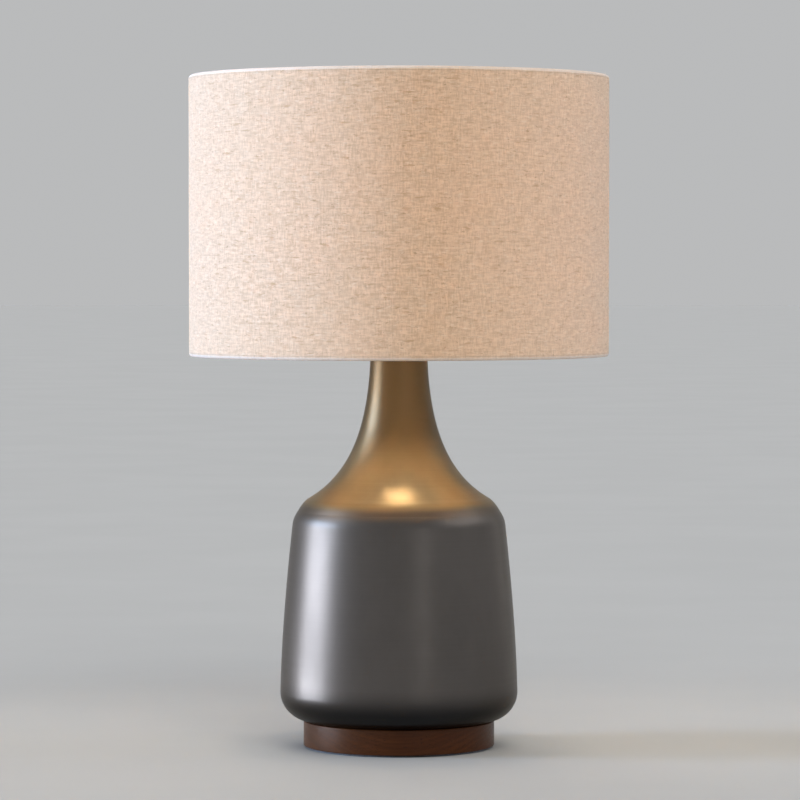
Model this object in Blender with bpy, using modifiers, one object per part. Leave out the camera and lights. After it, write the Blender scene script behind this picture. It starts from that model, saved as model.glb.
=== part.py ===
"""Table lamp with a drum shade, modelled as its separate pieces.

A turned walnut plinth carries a spun two-part metal body. A threaded pipe runs up the axis and
clamps the whole stack, from the nut under the plinth to the cap on the neck. Above the neck are
the harp saddle, the turn-knob lamp socket with its bulb, and the harp, whose threaded stud
carries the shade's spider under a finial.

Frame: origin at the centre of the base's underside, +Z up, front towards -Y, metres.
"""

import math

import bmesh
import bpy
from mathutils import Matrix, Vector
from mathutils.geometry import interpolate_bezier

MM = 0.001
GAP = 0.3 * MM  # clearance left between pieces that touch

# Driving dimensions ------------------------------------------------------------------------

SHADE_RADIUS = 190.5 * MM
SHADE_HEIGHT = 254 * MM
SHADE_TOP = 609.5 * MM
SHADE_BOTTOM = SHADE_TOP - SHADE_HEIGHT
FABRIC_THICKNESS = 0.6 * MM
LINER_THICKNESS = 0.8 * MM
SHADE_WIRE_RADIUS = 1.5 * MM

PLINTH_RADIUS = 86.7 * MM
PLINTH_TOP = 24.7 * MM
PLINTH_EDGE = 1.2 * MM
FELT_THICKNESS = 1.5 * MM
FELT_RADIUS = 83 * MM
RECESS_RADIUS = 30 * MM
RECESS_TOP = 14 * MM
SPIGOT_RADIUS = 58.2 * MM
CORD_HOLE_RADIUS = 4.8 * MM
CORD_HOLE_HEIGHT = 8.2 * MM

SHELL_THICKNESS = 1.2 * MM
BODY_BOTTOM = PLINTH_TOP + GAP
NECK_TOP = 372 * MM
NECK_RADIUS = 25.6 * MM
BELLY_RADIUS = 107.9 * MM
FOOT_CORNER_RADIUS = 25.8 * MM

PIPE_RADIUS = 5.0 * MM
PIPE_BORE_RADIUS = 3.8 * MM
PIPE_BOTTOM = 4.5 * MM
PIPE_TOP = 392.5 * MM
PIPE_HOLE_RADIUS = PIPE_RADIUS + GAP
NUT_ACROSS_FLATS = 14.3 * MM

SADDLE_BOTTOM = 383.6 * MM
LEG_SPACING = 29.0 * MM  # from the lamp's axis to a harp leg's centre
HARP_WIRE_RADIUS = 1.6 * MM
HARP_SEAT = 588 * MM
STUD_RADIUS = 3.0 * MM

SWITCH_HEIGHT = 420 * MM
BULB_BOTTOM = 429 * MM

# Turning steps for the shade, and for large, middling and small round pieces
SHADE_STEPS, LARGE, MEDIUM, SMALL = 48, 40, 24, 16

# Finishes: colour, roughness, metallic ----------------------------------------------------------

FINISHES = {
    "graphite_finish": ((0.16, 0.16, 0.17), 0.42, 0.85),
    "brass_finish": ((0.46, 0.31, 0.13), 0.40, 0.90),
    "walnut": ((0.20, 0.085, 0.05), 0.45, 0.0),
    "felt": ((0.05, 0.05, 0.05), 0.95, 0.0),
    "cast_iron": ((0.12, 0.12, 0.12), 0.70, 0.8),
    "steel": ((0.55, 0.55, 0.56), 0.35, 1.0),
    "brass_hardware": ((0.62, 0.45, 0.20), 0.28, 1.0),
    "black_plastic": ((0.03, 0.03, 0.03), 0.45, 0.0),
    "paperboard": ((0.55, 0.45, 0.32), 0.85, 0.0),
    "aluminium": ((0.80, 0.80, 0.80), 0.30, 1.0),
    "frosted_glass": ((0.95, 0.93, 0.88), 0.50, 0.0),
    "linen": ((0.78, 0.70, 0.59), 0.90, 0.0),
    "shade_liner": ((0.90, 0.88, 0.84), 0.60, 0.0),
    "white_enamel": ((0.85, 0.85, 0.83), 0.35, 0.0),
}


# Scene and finishes -----------------------------------------------------------------------------


def clear_scene():
    for obj in list(bpy.data.objects):
        bpy.data.objects.remove(obj, do_unlink=True)


def new_collection(name):
    collection = bpy.data.collections.new(name)
    bpy.context.scene.collection.children.link(collection)
    return collection


def finish(name):
    """The material of that name, made on first use."""
    if name in bpy.data.materials:
        return bpy.data.materials[name]
    colour, roughness, metallic = FINISHES[name]
    made = bpy.data.materials.new(name)
    made.use_nodes = True
    shader = made.node_tree.nodes["Principled BSDF"]
    shader.inputs["Base Color"].default_value = (*colour, 1.0)
    shader.inputs["Roughness"].default_value = roughness
    shader.inputs["Metallic"].default_value = metallic
    return made


# Modelling helpers --------------------------------------------------------------------------------


def place(name, data, finish_name, collection):
    obj = bpy.data.objects.new(name, data)
    if finish_name:
        data.materials.append(finish(finish_name))
    collection.objects.link(obj)
    return obj


def turned(name, profile, finish_name, steps=MEDIUM, closed=True):
    """A profile of (radius, height) points, listed down its outer side, turned about Z."""
    points = [(radius, 0.0, height) for radius, height in profile]
    edges = [(i, i + 1) for i in range(len(points) - 1)]
    if closed:
        edges.append((len(points) - 1, 0))
    mesh = bpy.data.meshes.new(name)
    mesh.from_pydata(points, edges, [])
    obj = place(name, mesh, finish_name, lamp)
    screw = obj.modifiers.new("Turn", "SCREW")
    screw.axis = "Z"
    screw.angle = 2 * math.pi
    screw.steps = screw.render_steps = steps
    screw.use_merge_vertices = True
    screw.merge_threshold = 0.00001
    screw.use_smooth_shade = True
    return obj


def turned_shell(name, profile, thickness, finish_name, steps):
    """An open profile turned about Z, with its wall growing inwards."""
    obj = turned(name, profile, finish_name, steps, closed=False)
    wall = obj.modifiers.new("Wall", "SOLIDIFY")
    wall.thickness = thickness
    wall.offset = -1
    wall.use_even_offset = True
    return obj


def ring_profile(inner, outer, bottom, top):
    """A rectangular section, for washers, tubes and discs with a bore."""
    return [(inner, top), (outer, top), (outer, bottom), (inner, bottom)]


def disc_profile(radius, bottom, top):
    """Half the section of a solid disc, from the axis out and back."""
    return [(0, top), (radius, top), (radius, bottom), (0, bottom)]


def prism_mesh(name, radius, length, segments):
    """A cylinder or prism centred on the origin, along Z."""
    mesh = bpy.data.meshes.new(name)
    bm = bmesh.new()
    bmesh.ops.create_cone(
        bm, cap_ends=True, segments=segments, radius1=radius, radius2=radius, depth=length
    )
    bm.to_mesh(mesh)
    bm.free()
    return mesh


def box_mesh(name, size):
    mesh = bpy.data.meshes.new(name)
    bm = bmesh.new()
    bmesh.ops.create_cube(bm, size=1.0, matrix=Matrix.Diagonal((*size, 1.0)))
    bm.to_mesh(mesh)
    bm.free()
    return mesh


def combine(obj, other, operation):
    """A Boolean of the object with a helper, which then stays only as a wire outline."""
    boolean = obj.modifiers.new(other.name, "BOOLEAN")
    boolean.operation = operation
    boolean.object = other
    other.hide_render = True
    other.display_type = "WIRE"


def drill(obj, radius, length, centre, tilt=(0, 0, 0), segments=SMALL):
    """A round hole through the object, along Z unless tilted."""
    mesh = prism_mesh(f"{obj.name}_drill", radius, length, segments)
    cutter = place(f"{obj.name}_drill", mesh, None, cutters)
    cutter.location = centre
    cutter.rotation_euler = tilt
    combine(obj, cutter, "DIFFERENCE")


def wire(name, points, radius, finish_name):
    """A round wire through the points, with flat ends."""
    curve = bpy.data.curves.new(name, "CURVE")
    curve.dimensions = "3D"
    curve.bevel_depth = radius
    curve.bevel_resolution = 2
    curve.use_fill_caps = True
    spline = curve.splines.new("POLY")
    spline.points.add(len(points) - 1)
    for target, point in zip(spline.points, points):
        target.co = (*point, 1.0)
    return place(name, curve, finish_name, lamp)


def plate(name, outline, thickness, finish_name):
    """A flat outline in X and Z, extruded along Y, as a mesh that Booleans can work on."""
    curve = bpy.data.curves.new(name, "CURVE")
    curve.dimensions = "2D"
    curve.fill_mode = "BOTH"
    curve.extrude = thickness / 2
    spline = curve.splines.new("POLY")
    spline.points.add(len(outline) - 1)
    for target, (x, z) in zip(spline.points, outline):
        target.co = (x, z, 0.0, 1.0)
    spline.use_cyclic_u = True
    flat = place(name + "_outline", curve, None, cutters)
    flat.rotation_euler = (math.pi / 2, 0, 0)
    bpy.context.view_layer.update()
    graph = bpy.context.evaluated_depsgraph_get()
    mesh = bpy.data.meshes.new_from_object(flat.evaluated_get(graph))
    bm = bmesh.new()
    bm.from_mesh(mesh)
    bmesh.ops.remove_doubles(bm, verts=bm.verts, dist=0.00001)
    bm.to_mesh(mesh)
    bm.free()
    solid = place(name, mesh, finish_name, lamp)
    solid.matrix_world = flat.matrix_world
    bpy.data.objects.remove(flat, do_unlink=True)
    return solid


def hex_nut(name, bottom, height, finish_name):
    corner_radius = NUT_ACROSS_FLATS / 2 / math.cos(math.pi / 6)
    nut = place(name, prism_mesh(name, corner_radius, height, 6), finish_name, lamp)
    nut.location.z = bottom + height / 2
    drill(nut, PIPE_HOLE_RADIUS, 3 * height, nut.location)
    return nut


def bezier(start, start_handle, end_handle, end, count):
    """Points (radius, height) along one cubic curve, both ends included."""
    knots = [Vector((r, z, 0)) for r, z in (start, start_handle, end_handle, end)]
    return [(p.x, p.y) for p in interpolate_bezier(*knots, count)]


def arc(centre, radius, start, end, count):
    """Points on a circle in the profile's plane, angles in degrees from the outward direction."""
    angles = [math.radians(start + (end - start) * i / (count - 1)) for i in range(count)]
    return [
        (centre[0] + radius * math.cos(a), centre[1] + radius * math.sin(a)) for a in angles
    ]


def shortened(points, by):
    """The polyline with its first point moved along it by that distance."""
    first, second = Vector(points[0]), Vector(points[1])
    moved = first + (second - first).normalized() * by
    return [tuple(moved), *points[1:]]


def in_mm(*pairs):
    return [(r * MM, z * MM) for r, z in pairs]


# The body's outline -------------------------------------------------------------------------------

# Knots and handles of the outline, in millimetres from the axis and from the table. The flare
# leaves the neck straight down and meets the shoulder at FLARE_END; the shoulder turns over
# to the side, which bellies out slightly as it runs down to the foot's round corner.
FLARE_END = (82.5, 226.2)
SEAM = (91.8, 215.6)
SIDE_TOP = (96.7, 202.9)


def flare_points():
    start = (NECK_RADIUS / MM, NECK_TOP / MM)
    flare = bezier(start, (start[0], 287.7), (46.2, 247.5), FLARE_END, 11)
    shoulder = bezier(FLARE_END, (84.7, 224.9), (88.7, 220.8), SEAM, 4)
    return in_mm(*flare, *shoulder[1:])


def body_points():
    shoulder = bezier(SEAM, (94.2, 211.7), (96.2, 207.3), SIDE_TOP, 4)
    belly_height = (BODY_BOTTOM + FOOT_CORNER_RADIUS) / MM
    belly = (BELLY_RADIUS / MM, belly_height)
    side = bezier(SIDE_TOP, (103.2, 143.9), (106.9, 93.2), belly, 6)
    corner_centre = (BELLY_RADIUS - FOOT_CORNER_RADIUS, BODY_BOTTOM + FOOT_CORNER_RADIUS)
    corner = arc(corner_centre, FOOT_CORNER_RADIUS, 0, -90, 7)
    opening = (SPIGOT_RADIUS + GAP * 2, BODY_BOTTOM)
    return in_mm(*shoulder, *side[1:-1]) + corner + [opening]


# Base ---------------------------------------------------------------------------------------------


def make_base():
    felt = place(
        "felt_pad", prism_mesh("felt_pad", FELT_RADIUS, FELT_THICKNESS, LARGE), "felt", lamp
    )
    felt.location.z = FELT_THICKNESS / 2

    bottom = FELT_THICKNESS + GAP
    spigot_top = BODY_BOTTOM + SHELL_THICKNESS
    plinth_profile = [
        (PIPE_HOLE_RADIUS, spigot_top),
        (SPIGOT_RADIUS, spigot_top),
        (SPIGOT_RADIUS, PLINTH_TOP),
        (PLINTH_RADIUS - PLINTH_EDGE, PLINTH_TOP),
        (PLINTH_RADIUS, PLINTH_TOP - PLINTH_EDGE),
        (PLINTH_RADIUS, bottom + PLINTH_EDGE),
        (PLINTH_RADIUS - PLINTH_EDGE, bottom),
        (RECESS_RADIUS, bottom),
        (RECESS_RADIUS, RECESS_TOP),
        (PIPE_HOLE_RADIUS, RECESS_TOP),
    ]
    plinth = turned("wood_base", plinth_profile, "walnut", LARGE)
    channel_length = PLINTH_RADIUS
    channel_centre = (0, RECESS_RADIUS / 2 + channel_length / 2, CORD_HOLE_HEIGHT)
    drill(plinth, CORD_HOLE_RADIUS, channel_length, channel_centre, (math.pi / 2, 0, 0))

    # Bushing that lines the cord's hole at the back, with a flange outside the plinth
    barrel, bore, flange = CORD_HOLE_RADIUS - GAP, 3.4 * MM, 5.8 * MM
    barrel_length, flange_length = 16 * MM, 2 * MM
    grommet_profile = [
        (bore, flange_length),
        (flange - 0.8 * MM, flange_length),
        (flange, flange_length / 2),
        (flange, 0),
        (barrel, 0),
        (barrel, -barrel_length),
        (bore, -barrel_length),
    ]
    grommet = turned("cord_grommet", grommet_profile, "black_plastic", SMALL)
    grommet.location = (0, PLINTH_RADIUS + GAP, CORD_HOLE_HEIGHT)
    grommet.rotation_euler.x = -math.pi / 2

    washer_top = RECESS_TOP - GAP
    washer_bottom = washer_top - 1.5 * MM
    washer = ring_profile(PIPE_HOLE_RADIUS, 15 * MM, washer_bottom, washer_top)
    turned("base_washer", washer, "steel")
    nut_height = 4.5 * MM
    hex_nut("base_nut", washer_bottom - GAP - nut_height, nut_height, "steel")

    weight_bottom = spigot_top + GAP
    weight_top = weight_bottom + 11 * MM
    weight_radius, chamfer = 75 * MM, 2 * MM
    weight_profile = [
        (PIPE_HOLE_RADIUS, weight_top),
        (weight_radius - chamfer, weight_top),
        (weight_radius, weight_top - chamfer),
        (weight_radius, weight_bottom),
        (PIPE_HOLE_RADIUS, weight_bottom),
    ]
    turned("base_weight", weight_profile, "cast_iron", MEDIUM)
    hex_nut("weight_nut", weight_top + GAP, nut_height, "steel")


def make_body():
    turned_shell(
        "body_shell", shortened(body_points(), GAP), SHELL_THICKNESS, "graphite_finish", LARGE
    )
    turned_shell("neck_shell", flare_points(), SHELL_THICKNESS, "brass_finish", LARGE)
    pipe = ring_profile(PIPE_BORE_RADIUS, PIPE_RADIUS, PIPE_BOTTOM, PIPE_TOP)
    turned("lamp_pipe", pipe, "steel", SMALL)

    # Spun cap that closes the neck, with a lip that centres it
    lip_outer = NECK_RADIUS - SHELL_THICKNESS - GAP
    cap_profile = [
        (PIPE_HOLE_RADIUS, NECK_TOP + 7.0 * MM),
        (9.0 * MM, NECK_TOP + 7.0 * MM),
        (18.0 * MM, NECK_TOP + 5.4 * MM),
        (24.0 * MM, NECK_TOP + 3.0 * MM),
        (NECK_RADIUS + 0.6 * MM, NECK_TOP + 1.5 * MM),
        (NECK_RADIUS + 0.6 * MM, NECK_TOP + GAP),
        (lip_outer, NECK_TOP + GAP),
        (lip_outer, NECK_TOP - 2.5 * MM),
        (lip_outer - 1.2 * MM, NECK_TOP - 2.5 * MM),
        (lip_outer - 1.2 * MM, NECK_TOP + 1.2 * MM),
        (17.0 * MM, NECK_TOP + 4.0 * MM),
        (9.0 * MM, NECK_TOP + 5.4 * MM),
        (PIPE_HOLE_RADIUS, NECK_TOP + 5.4 * MM),
    ]
    turned("neck_cap", cap_profile, "brass_hardware")
    hex_nut("neck_nut", NECK_TOP + 7.0 * MM + GAP, 4.0 * MM, "brass_hardware")


# Harp ---------------------------------------------------------------------------------------------


def make_saddle():
    """Strap with an eye on the pipe and a prong and foot for each harp leg."""
    z = SADDLE_BOTTOM / MM
    right = [
        (20.0, z),
        (25.4, z + 2.5),
        (31.0, z + 2.5),
        (31.0, z + 4.1),
        (27.1, z + 4.1),
        (27.1, z + 17.4),
        (25.5, z + 17.4),
        (25.5, z + 6.1),
        (22.5, z + 6.1),
        (18.5, z + 1.6),
    ]
    left = [(-x, height) for x, height in reversed(right)]
    strap = plate("harp_saddle", in_mm(*right, *left), 3.6 * MM, "brass_hardware")
    eye_height = 1.6 * MM
    eye_mesh = prism_mesh("harp_saddle_eye", 9 * MM, eye_height, SMALL)
    eye = place("harp_saddle_eye", eye_mesh, None, cutters)
    eye.location.z = SADDLE_BOTTOM + eye_height / 2
    combine(strap, eye, "UNION")
    drill(strap, PIPE_HOLE_RADIUS, 10 * MM, eye.location)


def harp_half():
    """The right half of the harp's centreline, (x, z), from the foot to the top."""
    leg = LEG_SPACING / MM
    foot = SADDLE_BOTTOM / MM + 4.4
    straight_top = (leg, 418.0)
    widest = (56.5, 500.0)
    top = (0.0, HARP_SEAT / MM - 2.1 - HARP_WIRE_RADIUS / MM)
    lower = bezier(straight_top, (leg, 448), (widest[0], 460), widest, 9)
    upper = bezier(widest, (widest[0], 552), (30, top[1]), top, 11)
    return in_mm((leg, foot), *lower, *upper[1:])


def make_harp():
    half = harp_half()
    right = [(x, 0.0, z) for x, z in half]
    left = [(-x, y, z) for x, y, z in reversed(right[:-1])]
    wire("harp", right + left, HARP_WIRE_RADIUS, "brass_hardware")

    stud_top = HARP_SEAT + 12.5 * MM
    seat_bottom = HARP_SEAT - 1.8 * MM
    stud_profile = [
        (0, stud_top),
        (STUD_RADIUS - 0.5 * MM, stud_top),
        (STUD_RADIUS, stud_top - 0.5 * MM),
        (STUD_RADIUS, HARP_SEAT),
        (8 * MM, HARP_SEAT),
        (8 * MM, seat_bottom),
        (0, seat_bottom),
    ]
    turned("harp_stud", stud_profile, "brass_hardware", SMALL)

    # Locking sleeves, each round one leg and its prong, that slide up to free the harp
    sleeve_bottom = SADDLE_BOTTOM + 6.4 * MM
    sleeve = ring_profile(3.5 * MM, 4.7 * MM, sleeve_bottom, sleeve_bottom + 12 * MM)
    for side, direction in (("left", -1), ("right", 1)):
        obj = turned(f"harp_sleeve_{side}", sleeve, "brass_hardware", SMALL)
        obj.location.x = direction * (LEG_SPACING - 0.8 * MM)


def make_finial():
    """Knob on a threaded insert that screws down the stud onto the spider."""
    bottom = HARP_SEAT + 2.6 * MM
    flange_top = bottom + 1.4 * MM
    insert_outer, bore = 5.0 * MM, STUD_RADIUS + 0.2 * MM
    insert_top = HARP_SEAT + 13.5 * MM
    insert_profile = [
        (bore, insert_top),
        (insert_outer, insert_top),
        (insert_outer, flange_top),
        (7.6 * MM, flange_top),
        (7.6 * MM, bottom),
        (bore, bottom),
    ]
    turned("finial_insert", insert_profile, "brass_hardware", SMALL)

    knob_bottom = flange_top + GAP
    ball_centre = (0, HARP_SEAT + 12.6 * MM)
    ball_radius = 8.4 * MM
    ball = arc(ball_centre, ball_radius, 90, -38, 9)
    waist = 6.4 * MM
    knob_profile = [
        *ball,
        (waist, knob_bottom + 2.0 * MM),
        (waist + 0.8 * MM, knob_bottom + 1.2 * MM),
        (waist + 0.8 * MM, knob_bottom),
        (insert_outer + GAP, knob_bottom),
        (insert_outer + GAP, insert_top + GAP),
        (0, insert_top + GAP),
    ]
    turned("finial", knob_profile, "brass_hardware", SMALL)


# Socket -------------------------------------------------------------------------------------------


def make_socket():
    cap_profile = in_mm(
        (17.6, 409.0),
        (17.6, 400.0),
        (16.0, 396.0),
        (12.0, 393.2),
        (8.0, 392.0),
        (8.0, 385.5),
        (5.3, 385.5),
        (5.3, 393.8),
        (7.5, 393.8),
        (11.4, 394.4),
        (15.2, 396.8),
        (16.8, 400.4),
        (16.8, 409.0),
    )
    turned("socket_cap", cap_profile, "brass_hardware")

    shell_profile = in_mm(
        (16.3, 452.0),
        (16.3, 448.5),
        (17.0, 447.3),
        (17.0, 445.7),
        (16.3, 444.5),
        (16.3, 400.8),
        (15.7, 400.8),
        (15.7, 444.7),
        (16.3, 445.9),
        (16.3, 447.1),
        (15.7, 448.3),
        (15.7, 452.0),
    )
    shell = turned("socket_shell", shell_profile, "brass_hardware")
    sleeve = turned(
        "socket_liner", ring_profile(14.6 * MM, 15.3 * MM, 401 * MM, 443.5 * MM), "paperboard"
    )
    core_bottom, core_top, core_radius = 403 * MM, 427 * MM, 14.2 * MM
    core = turned("socket_core", disc_profile(core_radius, core_bottom, core_top), "black_plastic")

    # The switch's shaft runs out to the front through the core, the liner and the shell
    facing_front = (math.pi / 2, 0, 0)
    drill(shell, 3.6 * MM, 10 * MM, (0, -16 * MM, SWITCH_HEIGHT), facing_front)
    drill(sleeve, 3.6 * MM, 10 * MM, (0, -15 * MM, SWITCH_HEIGHT), facing_front)
    drill(core, 2.9 * MM, 20 * MM, (0, -12.5 * MM, SWITCH_HEIGHT), facing_front)

    # Flats on the core's sides carry the terminal screws
    flat_depth, flat_height = 3.2 * MM, 12 * MM
    for side, direction in (("left", -1), ("right", 1)):
        size = (flat_depth * 2, 24 * MM, flat_height)
        flat = place(f"core_flat_{side}", box_mesh(f"core_flat_{side}", size), None, cutters)
        flat.location = (direction * core_radius, 0, core_bottom + flat_height / 2 - 1 * MM)
        combine(core, flat, "DIFFERENCE")
        screw_height = core_bottom + 5 * MM
        face = core_radius - flat_depth
        centre = (direction * face, 0, screw_height)
        screw_hole = prism_mesh(f"core_screw_hole_{side}", 1.8 * MM, 12 * MM, 12)
        hole = place(f"core_screw_hole_{side}", screw_hole, None, cutters)
        hole.location = centre
        hole.rotation_euler.y = math.pi / 2
        combine(core, hole, "DIFFERENCE")
        head, shank = 2.8 * MM, 1.5 * MM
        screw_profile = [
            (0, 2.0 * MM),
            (head - 0.5 * MM, 2.0 * MM),
            (head, 1.4 * MM),
            (head, GAP),
            (shank, GAP),
            (shank, -5 * MM),
            (0, -5 * MM),
        ]
        screw = turned(f"terminal_screw_{side}", screw_profile, "steel", 12)
        screw.location = centre
        screw.rotation_euler.y = direction * math.pi / 2

    shell_bottom = core_top + GAP
    screw_shell_profile = [
        (13.9 * MM, 443.5 * MM),
        (13.9 * MM, shell_bottom),
        (5.5 * MM, shell_bottom),
        (5.5 * MM, shell_bottom + 0.5 * MM),
        (13.4 * MM, shell_bottom + 0.5 * MM),
        (13.4 * MM, 443.5 * MM),
    ]
    turned("screw_shell", screw_shell_profile, "aluminium")
    contact_profile = [
        (0, BULB_BOTTOM - GAP),
        (2.0 * MM, BULB_BOTTOM - 0.5 * MM),
        (4.2 * MM, shell_bottom + 0.5 * MM),
        (4.2 * MM, shell_bottom),
        (0, shell_bottom),
    ]
    turned("center_contact", contact_profile, "brass_hardware", SMALL)


def make_switch():
    shaft_start, shaft_end, shaft_radius = 4 * MM, 33 * MM, 2.5 * MM
    shaft = turned(
        "switch_shaft", disc_profile(shaft_radius, shaft_start, shaft_end), "brass_hardware", SMALL
    )
    knob_start, knob_end = 23 * MM, 37 * MM
    bore = shaft_radius + GAP
    knob_profile = [
        (0, knob_end),
        (5.6 * MM, knob_end),
        (7.0 * MM, knob_end - 1.4 * MM),
        (7.6 * MM, knob_start + 2.0 * MM),
        (6.4 * MM, knob_start),
        (bore, knob_start),
        (bore, shaft_end + GAP),
        (0, shaft_end + GAP),
    ]
    knob = turned("switch_knob", knob_profile, "black_plastic", 12)
    for obj in (shaft, knob):
        obj.location.z = SWITCH_HEIGHT
        obj.rotation_euler.x = math.pi / 2


# Bulb ---------------------------------------------------------------------------------------------

THREAD_PITCH = 3.63
THREAD_TURNS = 4
CREST, ROOT = 13.0, 12.3


def make_bulb():
    z = BULB_BOTTOM / MM
    tip_profile = in_mm((0, z + 1.6), (4.0, z + 1.6), (4.0, z + 0.6), (2.2, z), (0, z))
    turned("bulb_tip", tip_profile, "steel", SMALL)
    insulator_profile = in_mm(
        (0, z + 5.6), (10.6, z + 5.6), (10.0, z + 4.6), (4.6, z + 1.9), (0, z + 1.9)
    )
    turned("bulb_insulator", insulator_profile, "black_plastic", SMALL)

    # Screw cap: a thin skirt whose wall waves in and out with the thread
    thread_bottom, cap_bottom, cap_top, wall = z + 7.2, z + 5.9, z + 25.6, 0.4
    thread = []
    for turn in reversed(range(THREAD_TURNS)):
        middle = thread_bottom + (turn + 0.5) * THREAD_PITCH
        thread.append((ROOT, middle + THREAD_PITCH / 2))
        thread.append((CREST, middle))
    thread.append((ROOT, thread_bottom))
    outside = [(13.2, cap_top), (12.9, cap_top - 2.4), *thread, (11.0, cap_bottom)]
    inside = [(r - wall, height) for r, height in reversed(outside)]
    turned("bulb_cap", in_mm(*outside, *inside), "aluminium", MEDIUM)

    # Envelope: neck in the cap, swelling to the round top
    widest = (30.0, 504.0)
    neck_bottom = (11.5, cap_top - 6)
    neck = bezier((11.9, cap_top + 1.5), (14.5, 466), (widest[0], 478), widest, 8)
    dome = bezier(widest, (widest[0], 523), (15, 536), (0.0, 536.0), 7)
    envelope = [*reversed(dome), *reversed(neck[:-1]), neck_bottom]
    turned_shell("bulb_glass", in_mm(*envelope), 0.9 * MM, "frosted_glass", MEDIUM)

    stem_profile = in_mm(
        (0, 484), (2.4, 482), (2.4, 466), (4.0, 460), (9.0, 452), (9.0, 450), (0, 450)
    )
    turned("bulb_stem", stem_profile, "frosted_glass", SMALL)
    filament_points = [(-1.2, 486), (-11, 494), (-6, 497), (0, 498), (6, 497), (11, 494), (1.2, 486)]
    points = [(x * MM, 0.0, height * MM) for x, height in filament_points]
    wire("bulb_filament", points, 0.5 * MM, "steel")


# Shade --------------------------------------------------------------------------------------------


def fabric_edge(edge, inwards):
    """The fabric's fold over a wire ring at one rim: its outer face, then its inner face.

    edge is the rim's height, and inwards is -1 at the top rim and 1 at the bottom one.
    """
    fold_radius = 184.0 * MM
    lip_height = edge + inwards * 3.6 * MM
    corner = 1.2 * MM
    thickness = FABRIC_THICKNESS
    outer = [
        (SHADE_RADIUS, edge + inwards * corner),
        (SHADE_RADIUS - corner, edge),
        (fold_radius, edge),
        (fold_radius, lip_height),
    ]
    inner = [
        (fold_radius + thickness, lip_height),
        (fold_radius + thickness, edge + inwards * thickness),
        (SHADE_RADIUS - corner, edge + inwards * thickness),
        (SHADE_RADIUS - thickness, edge + inwards * corner),
    ]
    return outer, inner


def make_shade():
    top_outer, top_inner = fabric_edge(SHADE_TOP, -1)
    bottom_outer, bottom_inner = fabric_edge(SHADE_BOTTOM, 1)
    skin_profile = [
        *reversed(top_inner),
        *reversed(top_outer),
        *bottom_outer,
        *bottom_inner,
    ]
    turned("shade_fabric", skin_profile, "linen", SHADE_STEPS)

    liner_outer = SHADE_RADIUS - FABRIC_THICKNESS - GAP
    liner_margin = 2.4 * MM
    liner = ring_profile(
        liner_outer - LINER_THICKNESS,
        liner_outer,
        SHADE_BOTTOM + liner_margin,
        SHADE_TOP - liner_margin,
    )
    turned("shade_liner", liner, "shade_liner", SHADE_STEPS)

    ring_radius = liner_outer - LINER_THICKNESS - GAP - SHADE_WIRE_RADIUS
    ring_inset = FABRIC_THICKNESS + GAP + SHADE_WIRE_RADIUS
    ring_heights = {"top": SHADE_TOP - ring_inset, "bottom": SHADE_BOTTOM + ring_inset}
    for side, height in ring_heights.items():
        section = arc((ring_radius, height), SHADE_WIRE_RADIUS, 90, -210, 6)
        turned(f"shade_ring_{side}", section, "white_enamel", SHADE_STEPS)

    hub_bottom = HARP_SEAT + GAP
    hub = ring_profile(STUD_RADIUS + 0.5 * MM, 14 * MM, hub_bottom, hub_bottom + 2 * MM)
    turned("spider_hub", hub, "white_enamel")
    hub_middle = hub_bottom + 1 * MM
    weld_height = ring_heights["top"] - 2 * SHADE_WIRE_RADIUS - GAP
    reach = [
        (14.4 * MM, hub_middle),
        (26 * MM, hub_middle),
        (34 * MM, hub_middle + 0.6 * MM),
        (160 * MM, weld_height - 0.6 * MM),
        (168 * MM, weld_height),
        (ring_radius + 0.4 * MM, weld_height),
    ]
    for number in range(3):
        heading = math.radians(90 + 120 * number)
        points = [(r * math.cos(heading), r * math.sin(heading), z) for r, z in reach]
        wire(f"spider_arm_{number + 1}", points, SHADE_WIRE_RADIUS, "white_enamel")


clear_scene()
lamp = new_collection("table_lamp")
cutters = new_collection("cutters")
make_base()
make_body()
make_saddle()
make_harp()
make_finial()
make_socket()
make_switch()
make_bulb()
make_shade()
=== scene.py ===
import math
import random

import bmesh
import bpy
import numpy as np
from mathutils import Matrix, Vector


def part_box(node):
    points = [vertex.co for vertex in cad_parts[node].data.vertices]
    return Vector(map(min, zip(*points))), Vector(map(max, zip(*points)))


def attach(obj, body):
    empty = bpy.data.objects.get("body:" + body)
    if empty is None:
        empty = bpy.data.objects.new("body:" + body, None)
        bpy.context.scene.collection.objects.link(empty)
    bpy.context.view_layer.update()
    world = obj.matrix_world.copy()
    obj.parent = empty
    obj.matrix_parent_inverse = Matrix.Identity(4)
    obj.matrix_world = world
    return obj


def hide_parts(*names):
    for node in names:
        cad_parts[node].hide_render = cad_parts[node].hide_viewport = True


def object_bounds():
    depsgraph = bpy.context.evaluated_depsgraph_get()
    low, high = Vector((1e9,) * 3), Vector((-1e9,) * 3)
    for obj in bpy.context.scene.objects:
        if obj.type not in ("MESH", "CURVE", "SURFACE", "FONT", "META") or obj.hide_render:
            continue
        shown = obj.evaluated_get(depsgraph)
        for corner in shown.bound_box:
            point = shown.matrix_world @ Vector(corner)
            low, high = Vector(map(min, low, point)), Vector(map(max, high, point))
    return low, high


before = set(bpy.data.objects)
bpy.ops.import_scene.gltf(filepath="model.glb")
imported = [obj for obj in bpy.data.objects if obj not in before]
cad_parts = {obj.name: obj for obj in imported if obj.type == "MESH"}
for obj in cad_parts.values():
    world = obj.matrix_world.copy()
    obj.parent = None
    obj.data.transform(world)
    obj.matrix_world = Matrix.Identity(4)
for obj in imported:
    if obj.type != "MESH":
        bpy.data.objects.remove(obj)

CAD_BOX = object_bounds()
MM = 0.001
scene = bpy.context.scene

# Heights and radii, in mm, from the frame's own nodes ---------------------------------------------


def low(node):
    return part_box(node)[0].z / MM


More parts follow.
